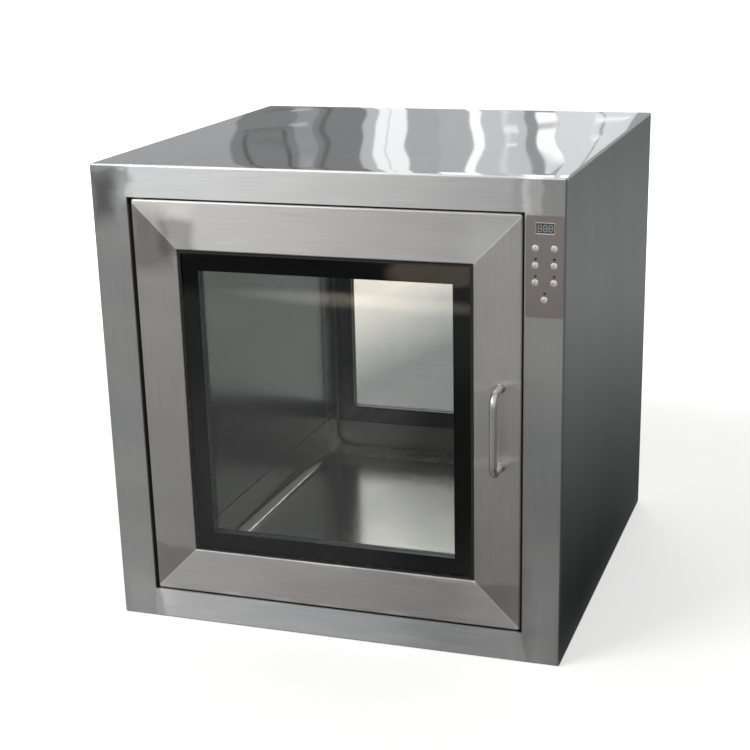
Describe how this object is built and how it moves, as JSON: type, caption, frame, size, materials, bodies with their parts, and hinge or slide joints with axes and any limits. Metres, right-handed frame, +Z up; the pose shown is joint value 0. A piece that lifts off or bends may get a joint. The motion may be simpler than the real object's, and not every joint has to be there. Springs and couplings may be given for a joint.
{
  "type": "cleanroom pass box",
  "caption": "Stainless steel transfer hatch with double-glazed hinged doors front and back, a coved chamber, bow handles and a key panel with a display.",
  "frame": {"origin": "centre of the base, on the surface that the box stands on", "axes": "+Z up, the front door faces -Y, +X to the right as seen from the front"},
  "size_m": [0.6, 0.671, 0.608],
  "materials": {
    "casing_steel": "brushed stainless steel sheet, long grain",
    "top_steel": "bright, near-mirror stainless steel sheet with soft waves",
    "side_steel": "brushed stainless steel sheet, vertical grain",
    "leaf_steel": "brushed stainless steel, mitred corners with polished welds",
    "chamber_steel": "satin to semi-mirror stainless steel",
    "handle_steel": "polished stainless steel rod",
    "plate_steel": "warm grey brushed stainless steel plate",
    "key_metal": "bright plated keys",
    "pane_glass": "clear toughened float glass",
    "printed_border": "black border fired on the glass",
    "spacer_bar": "grooved aluminium spacer bar",
    "sealant": "dark silicone sealant",
    "seal_rubber": "black elastomer door seal",
    "display_window": "smoked display window",
    "lamp_lens": "tinted indicator lamp",
    "board": "green circuit board",
    "brass_part": "turned brass",
    "bracket_steel": "milled stainless steel",
    "tube_glass": "lamp tube glass",
    "holder_plastic": "white lamp holder",
    "housing_metal": "folded aluminium housing",
    "ballast_paint": "white enamelled ballast case",
    "magnet_metal": "ground magnet face and armature plate",
    "sensor_plastic": "black sensor body",
    "gland_plastic": "black nylon cable gland",
    "stud_metal": "zinc plated studs and nuts"
  },
  "bodies": {
    "casing": {"top_panel": "top_steel", "base_panel": "casing_steel", "left_panel": "side_steel", "right_panel": "side_steel", "front_frame": "casing_steel", "rear_frame": "casing_steel", "front_collar": "chamber_steel", "rear_collar": "chamber_steel", "floor_pan": "chamber_steel", "ceiling_pan": "chamber_steel", "left_wall": "chamber_steel", "right_wall": "chamber_steel", "uv_lamp": "tube_glass", "white_lamp": "tube_glass", "lamp_holders": "holder_plastic", "lamp_ballast": "ballast_paint", "power_supply": "housing_metal", "front_magnet": "magnet_metal", "rear_magnet": "magnet_metal", "door_sensors": "sensor_plastic", "cable_gland": "gland_plastic", "panel_plate": "plate_steel", "display": "display_window", "indicator_leds": "lamp_lens", "circuit_board": "board", "board_spacers": "brass_part", "pivot_brackets": "bracket_steel", "pivot_bushes": "brass_part", "mounting_studs": "stud_metal"},
    "front_door": {"front_leaf_frame": "leaf_steel", "front_leaf_skin": "leaf_steel", "front_outer_pane": "pane_glass", "front_inner_pane": "pane_glass", "front_pane_borders": "printed_border", "front_pane_spacer": "spacer_bar", "front_glazing_bead": "sealant", "front_door_seal": "seal_rubber", "front_handle": "handle_steel", "front_armature": "magnet_metal", "front_pivot_pins": "bracket_steel", "front_sensor_magnet": "magnet_metal"},
    "rear_door": {"rear_leaf_frame": "leaf_steel", "rear_leaf_skin": "leaf_steel", "rear_outer_pane": "pane_glass", "rear_inner_pane": "pane_glass", "rear_pane_borders": "printed_border", "rear_pane_spacer": "spacer_bar", "rear_glazing_bead": "sealant", "rear_door_seal": "seal_rubber", "rear_handle": "handle_steel", "rear_armature": "magnet_metal", "rear_pivot_pins": "bracket_steel", "rear_sensor_magnet": "magnet_metal"},
    "key_1_body": {"key_1": "key_metal"},
    "key_2_body": {"key_2": "key_metal"},
    "key_3_body": {"key_3": "key_metal"},
    "key_4_body": {"key_4": "key_metal"},
    "key_5_body": {"key_5": "key_metal"},
    "key_6_body": {"key_6": "key_metal"},
    "key_7_body": {"key_7": "key_metal"}
  },
  "joints": [
    {"name": "front_door_hinge", "type": "hinge", "parent": "casing", "child": "front_door", "pos_m": [-0.2365, -0.285, 0.304], "axis": [0, 0, -1], "range_deg": [0, 105]},
    {"name": "rear_door_hinge", "type": "hinge", "parent": "casing", "child": "rear_door", "pos_m": [0.2365, 0.285, 0.304], "axis": [0, 0, -1], "range_deg": [0, 105]},
    {"name": "key_1_press", "type": "slide", "parent": "casing", "child": "key_1_body", "axis": [0, 1, 0], "range_m": [0, 0.001], "stiffness_N_per_m": 1500},
    {"name": "key_2_press", "type": "slide", "parent": "casing", "child": "key_2_body", "axis": [0, 1, 0], "range_m": [0, 0.001], "stiffness_N_per_m": 1500},
    {"name": "key_3_press", "type": "slide", "parent": "casing", "child": "key_3_body", "axis": [0, 1, 0], "range_m": [0, 0.001], "stiffness_N_per_m": 1500},
    {"name": "key_4_press", "type": "slide", "parent": "casing", "child": "key_4_body", "axis": [0, 1, 0], "range_m": [0, 0.001], "stiffness_N_per_m": 1500},
    {"name": "key_5_press", "type": "slide", "parent": "casing", "child": "key_5_body", "axis": [0, 1, 0], "range_m": [0, 0.001], "stiffness_N_per_m": 1500},
    {"name": "key_6_press", "type": "slide", "parent": "casing", "child": "key_6_body", "axis": [0, 1, 0], "range_m": [0, 0.001], "stiffness_N_per_m": 1500},
    {"name": "key_7_press", "type": "slide", "parent": "casing", "child": "key_7_body", "axis": [0, 1, 0], "range_m": [0, 0.001], "stiffness_N_per_m": 1500}
  ]
}
